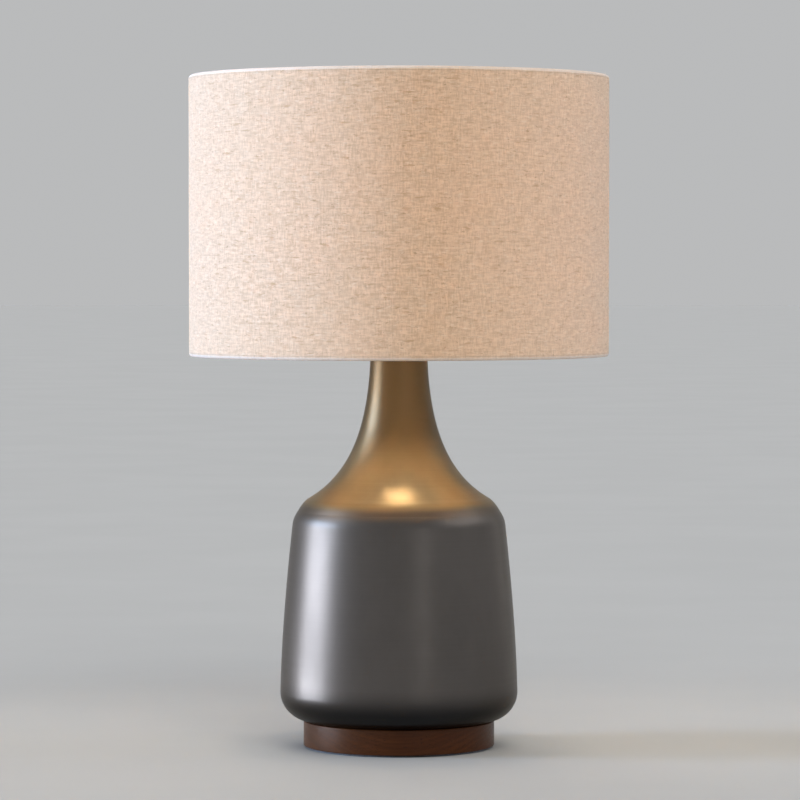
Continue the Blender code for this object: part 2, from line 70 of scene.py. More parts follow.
def high(node, axis="z"):
    return getattr(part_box(node)[1], axis) / MM


SHADE_TOP, SHADE_BOTTOM = high("shade_fabric"), low("shade_fabric")
SHADE_RADIUS = high("shade_fabric", "x")
NECK_TOP, SEAM = high("neck_shell"), low("neck_shell")
BODY_BOTTOM = low("body_shell")

# Outlines: (radius, height) in mm -----------------------------------------------------------------


def bezier(a, b, c, d, steps):
    """Points of a cubic from a to d, both ends included."""
    points = []
    for i in range(steps + 1):
        t = i / steps
        s = 1 - t
        weights = (s**3, 3 * s * s * t, 3 * s * t * t, t**3)
        points.append(tuple(sum(w * v for w, v in zip(weights, each)) for each in zip(a, b, c, d)))
    return points


def arc(centre, radius, start, sweep, steps):
    """Points of a circular arc from angle start, in degrees, both ends included."""
    angles = [math.radians(start + sweep * i / steps) for i in range(steps + 1)]
    return [(centre[0] + radius * math.cos(a), centre[1] + radius * math.sin(a)) for a in angles]


def softened(outline, radius, steps=4, closed=True, least=25):
    """The outline with each corner sharper than `least` degrees rounded off."""
    count = len(outline)
    points = []
    for i, here in enumerate(outline):
        if not closed and i in (0, count - 1):
            points.append(here)
            continue
        here = Vector(here)
        back = Vector(outline[i - 1]) - here
        ahead = Vector(outline[(i + 1) % count]) - here
        if back.length < 1e-6 or ahead.length < 1e-6:
            points.append(tuple(here))
            continue
        turn = math.pi - back.angle(ahead)
        if math.degrees(turn) < least or here.x < 1e-6:
            points.append(tuple(here))
            continue
        cut = min(radius * math.tan(min(turn, 2.6) / 2), 0.45 * back.length, 0.45 * ahead.length)
        first, last = here + back.normalized() * cut, here + ahead.normalized() * cut
        for k in range(steps + 1):
            t = k / steps
            points.append(tuple((1 - t) ** 2 * first + 2 * t * (1 - t) * here + t * t * last))
    return points


def inward(outline, wall):
    """The same line moved by `wall` to its left, going down the outside of a vessel: its inside."""
    moved = []
    for i, (r, z) in enumerate(outline):
        r0, z0 = outline[max(i - 1, 0)]
        r1, z1 = outline[min(i + 1, len(outline) - 1)]
        length = math.hypot(r1 - r0, z1 - z0)
        moved.append((r + (z1 - z0) / length * wall, z - (r1 - r0) / length * wall))
    return moved


# Meshes -------------------------------------------------------------------------------------------


# Edges sharper than these angles, in degrees, keep their crease in smooth shading
TURNED_CREASE, STRAP_CREASE, BAR_CREASE, CLOTH_CREASE, FIBRE_CREASE = 32, 40, 50, 60, 80


def smooth(mesh, crease):
    mesh.shade_smooth()
    mesh.set_sharp_from_angle(angle=math.radians(crease))


def piece(name, points, faces, material, body, slot, replaced, crease, place=None):
    """A smooth-shaded mesh from points in mm that rides on a body and stands for CAD nodes."""
    mesh = bpy.data.meshes.new(name)
    mesh.from_pydata([tuple(c * MM for c in p) for p in points], [], faces)
    if place is not None:
        mesh.transform(place)
    edited = bmesh.new()
    edited.from_mesh(mesh)
    bmesh.ops.recalc_face_normals(edited, faces=edited.faces)
    edited.to_mesh(mesh)
    edited.free()
    smooth(mesh, crease)
    mesh.materials.append(material)
    obj = bpy.data.objects.new(name, mesh)
    scene.collection.objects.link(obj)
    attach(obj, body)
    if replaced:
        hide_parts(*replaced)
    return obj


def turned_mesh(outline, steps, closed=True, shape=None):
    """Points and faces of an outline turned round the upright axis.

    shape(angle, radius, height) may move a point's radius, as flutes and threads do.
    """
    points, rows, faces = [], [], []
    for r, z in outline:
        if r < 1e-4:
            rows.append([len(points)])
            points.append((0.0, 0.0, z))
            continue
        rows.append(list(range(len(points), len(points) + steps)))
        for j in range(steps):
            angle = 2 * math.pi * j / steps
            reach = shape(angle, r, z) if shape else r
            points.append((reach * math.cos(angle), reach * math.sin(angle), z))
    pairs = list(zip(rows, rows[1:])) + ([(rows[-1], rows[0])] if closed else [])
    for upper, lower in pairs:
        for j in range(steps):
            k = (j + 1) % steps
            if len(upper) == 1 and len(lower) == 1:
                continue
            if len(upper) == 1:
                faces.append((upper[0], lower[j], lower[k]))
            elif len(lower) == 1:
                faces.append((upper[j], lower[0], upper[k]))
            else:
                faces.append((upper[j], lower[j], lower[k], upper[k]))
    return points, faces


def turned(name, outline, material, body, slot, replaced, steps, shape=None, closed=True,
           place=None):
    points, faces = turned_mesh(outline, steps, closed, shape)
    return piece(name, points, faces, material, body, slot, replaced, TURNED_CREASE, place)


def tube_mesh(path, radius, sides, closed=False):
    """Points and faces of a round bar along a path, with domed ends unless it is closed.

    radius is a number, or a function of the share of the way along.
    """
    path = [Vector(p) for p in path]
    count = len(path)
    size = radius if callable(radius) else (lambda share: radius)
    tangents = []
    for i in range(count):
        before = path[i - 1] if closed or i else path[0]
        after = path[(i + 1) % count] if closed or i < count - 1 else path[-1]
        tangents.append((after - before).normalized())
    across = tangents[0].orthogonal().normalized()
    frames = []
    for tangent in tangents:
        across = (across - tangent * across.dot(tangent)).normalized()
        frames.append((across.copy(), tangent.cross(across)))
    rings = [(path[i], frames[i], size(i / (count - 1))) for i in range(count)]

    def dome(end, sign):
        centre, axes, r = rings[end]
        slopes = [math.radians(angle) for angle in (30, 60, 85)]
        ahead = tangents[end] * sign * r * 0.5
        return [(centre + ahead * math.sin(a), axes, r * math.cos(a)) for a in slopes]

    if not closed:
        rings = dome(0, -1)[::-1] + rings + dome(-1, 1)
    points, faces = [], []
    for centre, (u, v), r in rings:
        for j in range(sides):
            a = 2 * math.pi * j / sides
            points.append(tuple(centre + (u * math.cos(a) + v * math.sin(a)) * r))
    total = len(rings)
    for i in range(total if closed else total - 1):
        n = (i + 1) % total
        for j in range(sides):
            k = (j + 1) % sides
            faces.append((i * sides + j, i * sides + k, n * sides + k, n * sides + j))
    if not closed:
        faces.append(tuple(range(sides)))
        faces.append(tuple(reversed(range((total - 1) * sides, total * sides))))
    return points, faces


def tube(name, path, radius, material, body, slot, replaced, sides, closed=False):
    points, faces = tube_mesh(path, radius, sides, closed)
    return piece(name, points, faces, material, body, slot, replaced, BAR_CREASE)


def merged(*meshes):
    """Several (points, faces) as one."""
    points, faces = [], []
    for more_points, more_faces in meshes:
        start = len(points)
        points += more_points
        faces += [tuple(i + start for i in face) for face in more_faces]
    return points, faces


def apply_modifiers(obj, crease):
    """Gives the object the mesh that its modifiers make."""
    bpy.context.view_layer.update()
    graph = bpy.context.evaluated_depsgraph_get()
    obj.data = bpy.data.meshes.new_from_object(obj.evaluated_get(graph))
    obj.modifiers.clear()
    smooth(obj.data, crease)


def drill(obj, radius, length, y, z):
    """Cuts a round hole through a piece, front to back, with its middle at y and z. All in mm."""
    cutter_mesh = bpy.data.meshes.new("cutter")
    rod = bmesh.new()
    bmesh.ops.create_cone(rod, cap_ends=True, segments=40, radius1=radius * MM,
                          radius2=radius * MM, depth=length * MM)
    rod.to_mesh(cutter_mesh)
    rod.free()
    cutter = bpy.data.objects.new("cutter", cutter_mesh)
    scene.collection.objects.link(cutter)
    cutter.location = (0, y * MM, z * MM)
    cutter.rotation_euler = (math.pi / 2, 0, 0)
    cut = obj.modifiers.new("cut", "BOOLEAN")
    cut.operation, cut.object, cut.solver = "DIFFERENCE", cutter, "EXACT"
    apply_modifiers(obj, TURNED_CREASE)
    bpy.data.objects.remove(cutter)


def thicken(obj, thickness):
    """Gives a single sheet its thickness in mm, half to each side."""
    thick = obj.modifiers.new("thickness", "SOLIDIFY")
    thick.thickness, thick.offset = thickness * MM, 0.0
    apply_modifiers(obj, CLOTH_CREASE)


# Materials ----------------------------------------------------------------------------------------


class Look:
    """A procedural material: a Principled shader with texture nodes in front of it."""

    def __init__(self, name, **constants):
        self.material = bpy.data.materials.new(name)
        self.material.use_nodes = True
        self.tree = self.material.node_tree
        self.shader = self.tree.nodes["Principled BSDF"]
        for socket, value in constants.items():
            self.shader.inputs[socket.replace("_", " ")].default_value = value
        self.object = self.node("ShaderNodeTexCoord").outputs["Object"]

    def node(self, kind, inputs=(), **settings):
        made = self.tree.nodes.new(kind)
        for name, value in settings.items():
            setattr(made, name, value)
        for key, value in dict(inputs).items():
            if isinstance(value, bpy.types.NodeSocket):
                self.tree.links.new(value, made.inputs[key])
            else:
                made.inputs[key].default_value = value
        return made

    def math(self, operation, a, b=0.0):
        return self.node("ShaderNodeMath", {0: a, 1: b}, operation=operation).outputs[0]

    def weighted(self, a, a_share, b, b_share):
        """a * a_share + b * b_share"""
        scaled_a, scaled_b = self.math("MULTIPLY", a, a_share), self.math("MULTIPLY", b, b_share)
        return self.math("ADD", scaled_a, scaled_b)

    def scaled(self, vector, x, y, z):
        factors = {0: vector, 1: (x, y, z)}
        return self.node("ShaderNodeVectorMath", factors, operation="MULTIPLY").outputs[0]

    def split(self, vector):
        return self.node("ShaderNodeSeparateXYZ", {0: vector}).outputs

    def joined(self, x, y, z):
        return self.node("ShaderNodeCombineXYZ", {0: x, 1: y, 2: z}).outputs[0]

    def noise(self, vector, scale, detail=2.0, roughness=0.5):
        values = {"Vector": vector, "Scale": scale, "Detail": detail, "Roughness": roughness}
        return self.node("ShaderNodeTexNoise", values).outputs["Fac"]

    def stretched_noise(self, vector, scales, detail=2.0, roughness=0.5):
        """Noise with its own scale along each axis, in cycles a metre."""
        return self.noise(self.scaled(vector, *scales), 1.0, detail, roughness)

    def ranged(self, value, start, end, to_low=0.0, to_high=1.0):
        values = {0: value, 1: start, 2: end, 3: to_low, 4: to_high}
        return self.node("ShaderNodeMapRange", values, interpolation_type="SMOOTHSTEP").outputs[0]

    def mixed(self, share, a, b):
        """Colour a, with this share of colour b. A colour is a socket or three numbers."""
        a, b = ((*c, 1.0) if isinstance(c, tuple) else c for c in (a, b))
        return self.node("ShaderNodeMix", {0: share, 6: a, 7: b}, data_type="RGBA").outputs[2]

    def wandering(self, value, start, end, a, b):
        """A colour that goes from a to b as the value goes from start to end."""
        return self.mixed(self.ranged(value, start, end), a, b)

    def colour(self, value):
        self.tree.links.new(value, self.shader.inputs["Base Color"])

    def rough(self, value):
        self.tree.links.new(value, self.shader.inputs["Roughness"])

    def bump(self, height, distance, strength=1.0):
        values = {"Height": height, "Distance": distance, "Strength": strength}
        made = self.node("ShaderNodeBump", values).outputs[0]
        self.tree.links.new(made, self.shader.inputs["Normal"])

    def let_light_through(self, share, tint):
        """Makes this share of the surface translucent, for a thin sheet lit from behind."""
        glow = self.node("ShaderNodeBsdfTranslucent", {"Color": (*tint, 1.0)})
        sockets = {0: share, 1: self.shader.outputs[0], 2: glow.outputs[0]}
        mix = self.node("ShaderNodeMixShader", sockets)
        output = self.tree.nodes["Material Output"]
        self.tree.links.new(mix.outputs[0], output.inputs["Surface"])


def plain_look(name, light, dark, rough, rough_spread, scale, bump, stretch=(1, 1, 1), **constants):
    """Colour, roughness and surface that wander a little between two tones."""
    look = Look(name, **constants)
    place = look.scaled(look.object, *stretch)
    broad = look.noise(place, scale, 3.0, 0.6)
    fine = look.noise(place, scale * 9, 4.0, 0.65)
    look.colour(look.wandering(broad, 0.3, 0.72, light, dark))
    wander = look.weighted(broad, 0.6, fine, 0.4)
    look.rough(look.ranged(wander, 0.3, 0.7, rough - rough_spread, rough + rough_spread))
    look.bump(fine, bump)
    return look.material


# Tones of the spun metal
GRAPHITE, GRAPHITE_DARK = (0.127, 0.114, 0.106), (0.108, 0.097, 0.090)
BRONZE, BRONZE_DARK = (0.318, 0.240, 0.132), (0.256, 0.184, 0.096)
# Painted shade: the bronze darkens towards this tone at the top of the neck
BRONZE_PAINTED_SHADE = (0.140, 0.096, 0.048)
FADE_BROWN = (0.130, 0.104, 0.083)
# Painted shade: the foot darkens towards this near-black
FOOT_PAINTED_SHADE = (0.016, 0.015, 0.015)
# Heights on the lamp, in metres, where its tones change
FOOT_LOW, FOOT_HIGH = 0.036, 0.064
FADE_BOTTOM, FADE_MIDDLE, FADE_TOP = 0.2095, 0.2175, 0.2252
NECK_SHADE_LOW, NECK_SHADE_HIGH = 0.245, 0.292


def spun_metal(name):
    """Satin metal spun on a lathe, that fades from bronze on the flare to graphite below.

    It is painted darker at the foot and at the top of the neck: painted shade.
    """
    look = Look(name, Metallic=1.0, Coat_Weight=0.35, Coat_Roughness=0.30,
                Specular_Tint=(0.58, 0.55, 0.51, 1.0))
    z = look.split(look.object)["Z"]
    cloud = look.noise(look.scaled(look.object, 1.0, 1.0, 0.6), 14.0, 4.0, 0.6)
    rings = look.stretched_noise(look.object, (6.0, 6.0, 900.0), 3.0, 0.7)
    grain = look.noise(look.object, 1400.0, 2.0, 0.6)
    tone = look.ranged(look.weighted(cloud, 0.85, rings, 0.15), 0.32, 0.68)
    graphite = look.mixed(tone, GRAPHITE, GRAPHITE_DARK)
    bronze = look.mixed(tone, BRONZE, BRONZE_DARK)
    # Painted shade: the bronze goes darker towards the top of the neck
    bronze = look.wandering(z, NECK_SHADE_LOW, NECK_SHADE_HIGH, bronze, BRONZE_PAINTED_SHADE)
    wavering = look.math("ADD", z, look.math("MULTIPLY", look.math("SUBTRACT", cloud, 0.5), 0.006))
    upper = look.wandering(wavering, FADE_MIDDLE, FADE_TOP, FADE_BROWN, bronze)
    colour = look.wandering(wavering, FADE_BOTTOM, FADE_MIDDLE, graphite, upper)
    # Painted shade: the colour goes near-black towards the foot
    look.colour(look.wandering(wavering, FOOT_LOW, FOOT_HIGH, FOOT_PAINTED_SHADE, colour))
    look.rough(look.ranged(look.weighted(rings, 0.35, cloud, 0.65), 0.3, 0.7, 0.345, 0.415))
    look.bump(look.weighted(rings, 0.7, grain, 0.3), 0.00002)
    return look.material


WOOD, WOOD_DARK = (0.064, 0.019, 0.0045), (0.032, 0.0095, 0.0025)
WOOD_FIBRE, WOOD_BLOTCH = (0.078, 0.024, 0.007), (0.036, 0.013, 0.007)
WOOD_PORE = (0.015, 0.006, 0.004)


def walnut():
    """Stained walnut with its grain along X."""
    look = Look("walnut_satin", Specular_IOR_Level=0.13)
    x, y, z = look.split(look.object)
    warp = look.stretched_noise(look.object, (5.0, 14.0, 14.0), 3.0, 0.55)
    shift = look.math("MULTIPLY", look.math("SUBTRACT", warp, 0.5), 0.030)
    # Growth rings lie round a line below the block, so its sides show long cathedral bands
    ring_y = look.math("ADD", y, shift)
    ring_z = look.math("ADD", look.math("MULTIPLY", z, 1.6), 0.055)
    square = look.math("ADD", look.math("POWER", ring_y, 2.0), look.math("POWER", ring_z, 2.0))
    radius = look.math("ADD", look.math("SQRT", square), shift)
    bands = look.stretched_noise(look.joined(x, radius, 0.0), (4.0, 260.0, 1.0), 3.0, 0.6)
    fibre = look.stretched_noise(look.object, (22.0, 520.0, 520.0), 4.0, 0.65)
    pores = look.ranged(look.stretched_noise(look.object, (60.0, 1500.0, 1500.0), 1.0), 0.62, 0.72)
    blotch = look.stretched_noise(look.object, (9.0, 26.0, 26.0), 3.0, 0.6)
    tone = look.wandering(bands, 0.3, 0.7, WOOD, WOOD_DARK)
    tone = look.mixed(look.ranged(fibre, 0.25, 0.75, 0.0, 0.55), tone, WOOD_FIBRE)
    tone = look.mixed(look.ranged(blotch, 0.35, 0.75, 0.0, 0.45), tone, WOOD_BLOTCH)
    look.colour(look.mixed(look.math("MULTIPLY", pores, 0.65), tone, WOOD_PORE))
    look.rough(look.ranged(fibre, 0.25, 0.75, 0.30, 0.44))
    look.bump(look.math("SUBTRACT", look.math("MULTIPLY", fibre, 0.5), pores), 0.00006)
    return look.material


# Tones of the linen's yarns, thick places, flecks, and taped rims with their painted highlight and
# painted shadow line
YARN, YARN_LIGHT, YARN_PALE = (0.735, 0.508, 0.320), (0.975, 0.722, 0.500), (1.00, 0.850, 0.680)
SLUB, SLUB_UP, FLECK = (0.56, 0.320, 0.145), (0.58, 0.360, 0.180), (0.40, 0.205, 0.080)
MOTTLE = (0.66, 0.465, 0.295)
TAPE_AND_HIGHLIGHT, TAPE_PAINTED_SHADOW = (1.00, 0.900, 0.800), (0.42, 0.300, 0.200)
TAPE_WIDTH = 0.0036  # in metres, as are the next two
CLOTH_RADIUS = 0.1903
YARN_SPACING = 0.00068


def linen(name, translucency):
    """Plain-woven slubby linen: uneven yarns both ways, slubs, darker flecks, and taped rims with a
    painted highlight and a painted shadow line.
    """
    look = Look(name, Roughness=0.88, Sheen_Weight=0.18, Sheen_Roughness=0.45,
                Specular_IOR_Level=0.25)
    # Places on the drum in metres, along it and up, with the join at the back, +Y
    x, y, up = look.split(look.object)
    angle = look.math("ARCTAN2", x, look.math("MULTIPLY", y, -1.0))
    along = look.math("MULTIPLY", angle, CLOTH_RADIUS)
    place = look.joined(along, up, 0.0)

    def threads(along_scale, up_scale, detail, roughness):
        return look.stretched_noise(place, (along_scale, up_scale, 1.0), detail, roughness)

    weft, warp = threads(95.0, 500.0, 3.0, 0.62), threads(660.0, 125.0, 3.0, 0.65)
    slub = look.ranged(threads(72.0, 350.0, 3.0, 0.65), 0.575, 0.69)
    slub_up = look.ranged(threads(470.0, 95.0, 3.0, 0.6), 0.60, 0.72)
    fleck = look.ranged(threads(165.0, 380.0, 3.0, 0.7), 0.595, 0.70)
    pale = look.ranged(threads(160.0, 520.0, 2.0, 0.5), 0.56, 0.70)
    mottle = threads(70.0, 110.0, 5.0, 0.7)
    yarns = look.math("MULTIPLY", look.math("ADD", weft, warp), 0.5)
    tone = look.wandering(yarns, 0.39, 0.61, YARN, YARN_LIGHT)
    for share, strength, colour in ((pale, 0.50, YARN_PALE), (slub, 0.66, SLUB),
                                    (slub_up, 0.38, SLUB_UP), (fleck, 0.66, FLECK)):
        tone = look.mixed(look.math("MULTIPLY", share, strength), tone, colour)
    tone = look.mixed(look.ranged(mottle, 0.3, 0.7, 0.0, 0.26), tone, MOTTLE)
    # The rims are bound in a paler tape that also carries a painted highlight on the rolled edge,
    # with a thin painted shadow line where it ends
    from_rim = look.math("MINIMUM", look.math("SUBTRACT", up, SHADE_BOTTOM * MM),
                         look.math("SUBTRACT", SHADE_TOP * MM, up))
    # Painted highlight: the rolled rims are paler
    tone = look.mixed(look.ranged(from_rim, 0.0030, 0.0024, 0.0, 0.50), tone, TAPE_AND_HIGHLIGHT)
    from_tape = look.math("ABSOLUTE", look.math("SUBTRACT", from_rim, TAPE_WIDTH))
    # Painted shadow: a thin dark line where the tape ends
    tone = look.mixed(look.ranged(from_tape, 0.0007, 0.0002, 0.0, 0.28), tone, TAPE_PAINTED_SHADOW)
    look.colour(tone)
    waves = [look.math("SINE", look.math("MULTIPLY", way, 2 * math.pi / YARN_SPACING))
             for way in (along, up)]
    height = look.weighted(look.math("MULTIPLY", *waves), 0.35, yarns, 1.3)
    height = look.math("ADD", height, look.math("MULTIPLY", look.math("ADD", slub, slub_up), 0.5))
    look.bump(height, 0.00022, 0.8)
    if translucency:
        look.let_light_through(translucency, (1.0, 0.80, 0.52))
    return look.material


def translucent_liner():
    look = Look("shade_liner_film", Roughness=0.5, Specular_IOR_Level=0.35)
    fibres = look.noise(look.object, 300.0, 4.0, 0.7)
    cloud = look.noise(look.object, 30.0, 3.0, 0.6)
    look.colour(look.wandering(fibres, 0.3, 0.7, (0.86, 0.82, 0.74), (0.92, 0.89, 0.83)))
    look.rough(look.ranged(cloud, 0.3, 0.7, 0.45, 0.58))
    look.bump(fibres, 0.00004)
    look.let_light_through(0.46, (0.95, 0.82, 0.62))
    return look.material


def lit_glass():
    """Frosted glass of a bulb that is on."""
    look = Look("bulb_glass_lit", Roughness=0.42, Emission_Color=(1.0, 0.77, 0.52, 1.0),
                Emission_Strength=50.0)
    frost = look.noise(look.object, 2600.0, 2.0, 0.6)
    cloud = look.noise(look.object, 60.0, 3.0, 0.6)
    look.colour(look.wandering(cloud, 0.3, 0.7, (0.93, 0.90, 0.84), (0.97, 0.95, 0.91)))
    look.rough(look.ranged(frost, 0.3, 0.7, 0.36, 0.50))
    look.bump(frost, 0.00002)
    return look.material


LOOKS = {
    "graphite_finish": spun_metal("graphite_satin"),
    "brass_finish": spun_metal("bronze_satin"),
    "walnut": walnut(),
    "felt": plain_look("felt_wool", (0.045, 0.038, 0.032), (0.085, 0.072, 0.060), 0.95, 0.04,
                       420.0, 0.0004, Sheen_Weight=0.4, Sheen_Roughness=0.6),
    "cast_iron": plain_look("cast_iron_sanded", (0.060, 0.058, 0.056), (0.110, 0.100, 0.092), 0.66,
                            0.10, 160.0, 0.0003, Metallic=0.8),
    "steel": plain_look("steel_zinc_plated", (0.56, 0.56, 0.57), (0.42, 0.42, 0.43), 0.34, 0.08,
                        90.0, 0.00004, Metallic=1.0),
    "brass_hardware": plain_look("brass_lacquered", (0.66, 0.48, 0.22), (0.55, 0.38, 0.16), 0.27,
                                 0.07, 70.0, 0.00003, Metallic=1.0, Coat_Weight=0.3,
                                 Coat_Roughness=0.15),
    "black_plastic": plain_look("phenolic_black", (0.020, 0.019, 0.018), (0.034, 0.031, 0.029),
                                0.36, 0.08, 110.0, 0.00004),
    "paperboard": plain_look("paperboard_fibre", (0.52, 0.41, 0.28), (0.40, 0.30, 0.19), 0.86, 0.06,
                             300.0, 0.0001, stretch=(1, 1, 4)),
    "aluminium": plain_look("aluminium_drawn", (0.80, 0.80, 0.80), (0.66, 0.66, 0.67), 0.30, 0.07,
                            120.0, 0.00003, stretch=(1, 1, 6), Metallic=1.0),
    "frosted_glass": lit_glass(),
    "linen": linen("linen_slub", 0.24),
    "shade_liner": translucent_liner(),
    "white_enamel": plain_look("enamel_white", (0.84, 0.83, 0.80), (0.78, 0.76, 0.72), 0.32, 0.08,
                               150.0, 0.00005, Coat_Weight=0.4, Coat_Roughness=0.12),
}
STEM_GLASS = plain_look("stem_glass_clear", (0.80, 0.82, 0.80), (0.70, 0.73, 0.71), 0.12, 0.05,
                        200.0, 0.00002)
THREAD_LINEN = linen("linen_thread", 0.0)

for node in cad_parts.values():
    for material_slot in node.material_slots:
        material_slot.material = LOOKS[material_slot.material.name.split(".")[0]]
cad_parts["bulb_stem"].material_slots[0].material = STEM_GLASS

# Body, flare and neck -----------------------------------------------------------------------------

WALL = 1.2
NECK_RADIUS = 25.6
FLARE_END, SEAM_EDGE, SIDE_TOP = (82.5, 226.2), (91.8, SEAM), (96.7, 202.9)
BELLY, CORNER = 107.9, 25.8
BODY_FLOOR_HOLE = 58.8

flare = [
    *bezier((NECK_RADIUS, NECK_TOP), (NECK_RADIUS, 287.7), (46.2, 247.5), FLARE_END, 96),
    *bezier(FLARE_END, (84.7, 224.9), (88.7, 220.8), SEAM_EDGE, 16)[1:],
]
body_side = [
    *bezier(SEAM_EDGE, (94.2, 211.7), (96.2, 207.3), SIDE_TOP, 12),
    *bezier(SIDE_TOP, (103.2, 143.9), (106.9, 93.2), (BELLY, BODY_BOTTOM + CORNER), 80)[1:],
    *arc((BELLY - CORNER, BODY_BOTTOM + CORNER), CORNER, 0, -90, 40)[1:],
    (BODY_FLOOR_HOLE, BODY_BOTTOM),
]
for name, outside, slot, node in (
    ("neck_finish", flare, "brass_finish", "neck_shell"),
    ("body_finish", body_side, "graphite_finish", "body_shell"),
):
    outline = outside + inward(outside, WALL)[::-1]
    turned(name, outline, LOOKS[slot], "lamp", slot, [node], steps=256)

# Base ---------------------------------------------------------------------------------------------

base_low, base_top = low("wood_base"), BODY_BOTTOM - 0.3
base_radius = high("wood_base", "x")
PIPE_HOLE, RECESS, RECESS_TOP = 5.3, 30.0, 14.0
PLUG = 58.2  # radius of the step that fits into the body
base_outline = softened(
    [
        (PIPE_HOLE, high("wood_base")), (PLUG, high("wood_base")), (PLUG, base_top),
        (base_radius, base_top), (base_radius, base_low), (RECESS, base_low),
        (RECESS, RECESS_TOP), (PIPE_HOLE, RECESS_TOP),
    ],
    1.3, steps=6,
)
base = turned("walnut_base", base_outline, LOOKS["walnut"], "lamp", "walnut", ["wood_base"],
              steps=224)
CORD_HEIGHT = (low("cord_grommet") + high("cord_grommet")) / 2
CORD_HOLE = 4.8
drill(base, CORD_HOLE, base_radius, (RECESS + base_radius) / 2, CORD_HEIGHT)


def facing(sign, y, z):
    """Lays a piece's axis along Y: its top faces the back with sign 1, and the front with -1."""
    return Matrix.Translation((0, y * MM, z * MM)) @ Matrix.Rotation(-sign * math.pi / 2, 4, "X")


grommet = softened(
    [(3.4, 2.0), (5.0, 2.0), (5.8, 1.0), (5.8, 0), (4.5, 0), (4.5, -16), (3.4, -16)], 0.5
)
turned("grommet", grommet, LOOKS["black_plastic"], "lamp", "black_plastic", ["cord_grommet"],
       steps=64, place=facing(1, base_radius + 0.3, CORD_HEIGHT))

FELT_RADIUS = 83
felt_top = high("felt_pad")
felt = softened([(0, felt_top), (FELT_RADIUS, felt_top), (FELT_RADIUS, 0), (0, 0)], 0.5,
                closed=False)


def frayed(angle, radius, height):
    """The felt's cut edge wanders a little."""
    if radius < FELT_RADIUS - 1:
        return radius
    wander = math.sin(angle * 37) + math.sin(angle * 61 + 1.3) + math.sin(angle * 97 + 2.1)
    return radius - 0.25 + 0.08 * wander


turned("felt_sole", felt, LOOKS["felt"], "lamp", "felt", ["felt_pad"], steps=224, closed=False,
       shape=frayed)

# Neck cap, saddle, harp and its sleeves -----------------------------------------------------------

brass = LOOKS["brass_hardware"]
cap = softened(
    [
        (PIPE_HOLE, NECK_TOP + 7.0), (9.0, NECK_TOP + 7.0), (18.0, NECK_TOP + 5.4),
        (24.0, NECK_TOP + 3.0), (26.2, NECK_TOP + 1.5), (26.2, NECK_TOP + 0.3),
        (24.1, NECK_TOP + 0.3), (24.1, NECK_TOP - 2.5), (22.9, NECK_TOP - 2.5),
        (22.9, NECK_TOP + 1.2), (17.0, NECK_TOP + 4.0), (9.0, NECK_TOP + 5.4),
        (PIPE_HOLE, NECK_TOP + 5.4),
    ],
    1.6, least=8,
)
turned("neck_cap_spun", cap, brass, "lamp", "brass_hardware", ["neck_cap"], steps=128)

saddle_low = low("harp_saddle")
STRAP, STRAP_WALL, EYE_RADIUS = 3.6, 1.6, 9
LEG = 29.0  # from the lamp's axis to each leg of the harp


def strap_mesh(sign):
    """One arm of the saddle: a strip bent along its length with rounded edges."""
    line = softened(
        [(7.5, 0.8), (19.2, 0.8), (24.0, 5.0), (26.3, 5.2), (26.3, 17.4)], 2.2, 6, closed=False
    )
    section = softened(
        [(-STRAP / 2, -STRAP_WALL / 2), (STRAP / 2, -STRAP_WALL / 2),
         (STRAP / 2, STRAP_WALL / 2), (-STRAP / 2, STRAP_WALL / 2)], 0.35, 3
    )
    points, faces, count = [], [], len(section)
    for i, (x, z) in enumerate(line):
        x0, z0 = line[max(i - 1, 0)]
        x1, z1 = line[min(i + 1, len(line) - 1)]
        length = math.hypot(x1 - x0, z1 - z0)
        nx, nz = -(z1 - z0) / length, (x1 - x0) / length
        for across, out in section:
            points.append((sign * (x + nx * out), across, saddle_low + z + nz * out))
    for i in range(len(line) - 1):
        for j in range(count):
            k = (j + 1) % count
            faces.append((i * count + j, i * count + k, (i + 1) * count + k, (i + 1) * count + j))
    faces.append(tuple(range(count)))
    faces.append(tuple(reversed(range((len(line) - 1) * count, len(line) * count))))
    return points, faces


eye_top = saddle_low + STRAP_WALL
eye = turned_mesh(
    softened([(PIPE_HOLE, saddle_low), (EYE_RADIUS, saddle_low), (EYE_RADIUS, eye_top),
              (PIPE_HOLE, eye_top)], 0.35), 64
)
foot = softened([(0, 2.6), (2.1, 2.6), (2.1, 4.1), (0, 4.1)], 0.3, closed=False)
foot_points, foot_faces = turned_mesh([(r, saddle_low + z) for r, z in foot], 24, closed=False)
feet = [([(x + sign * LEG, y, z) for x, y, z in foot_points], foot_faces) for sign in (-1, 1)]
piece("saddle", *merged(strap_mesh(-1), strap_mesh(1), eye, *feet), brass, "lamp",
      "brass_hardware", ["harp_saddle"], STRAP_CREASE)

HARP_SEAT = low("spider_hub") - 0.3
HARP_WIRE, HARP_REACH, BOW_MIDDLE = 1.6, 56.5, 500
harp_top = HARP_SEAT - 3.7
harp_half = [
    *[(LEG, saddle_low + 4.4 + i * 2.5) for i in range(12)],
    *bezier((LEG, 418.0), (LEG, 448), (HARP_REACH, 460), (HARP_REACH, BOW_MIDDLE), 36),
    *bezier((HARP_REACH, BOW_MIDDLE), (HARP_REACH, 552), (30, harp_top), (0.0, harp_top), 48)[1:],
]
harp_path = [(x, 0, z) for x, z in harp_half] + [(-x, 0, z) for x, z in harp_half[-2::-1]]
tube("harp_wire", harp_path, HARP_WIRE, brass, "lamp", "brass_hardware", ["harp"], sides=24)

